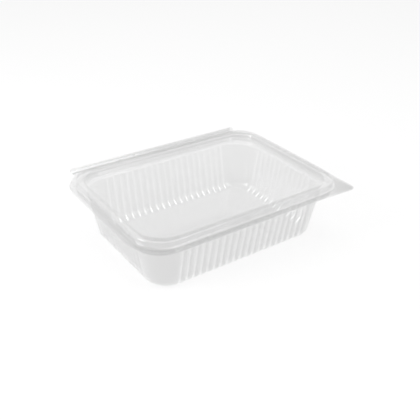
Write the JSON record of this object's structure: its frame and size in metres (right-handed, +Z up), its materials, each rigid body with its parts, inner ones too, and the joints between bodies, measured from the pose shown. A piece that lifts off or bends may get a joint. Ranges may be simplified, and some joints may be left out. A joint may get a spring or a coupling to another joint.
{
  "type": "hinged clear plastic food pack",
  "caption": "Clear thermoformed clamshell food pack: a fluted rectangular tray and a flat lid with a raised ring, joined along one long side by a curled living hinge.",
  "frame": {"origin": "middle of the tray's underside, on the surface that the pack stands on", "axes": "+X along the hinge, +Y towards the hinge, +Z up"},
  "size_m": [0.202, 0.1589, 0.054],
  "materials": {
    "clear_sheet": "clear glossy thermoformed sheet, slightly grey at its edges and folds"
  },
  "bodies": {
    "tray": {"tray": "clear_sheet"},
    "lid": {"lid": "clear_sheet"}
  },
  "joints": [
    {"name": "lid_hinge", "type": "hinge", "parent": "tray", "child": "lid", "pos_m": [0, 0.07915, 0.0485], "axis": [-1, 0, 0], "range_deg": [0, 180]}
  ]
}
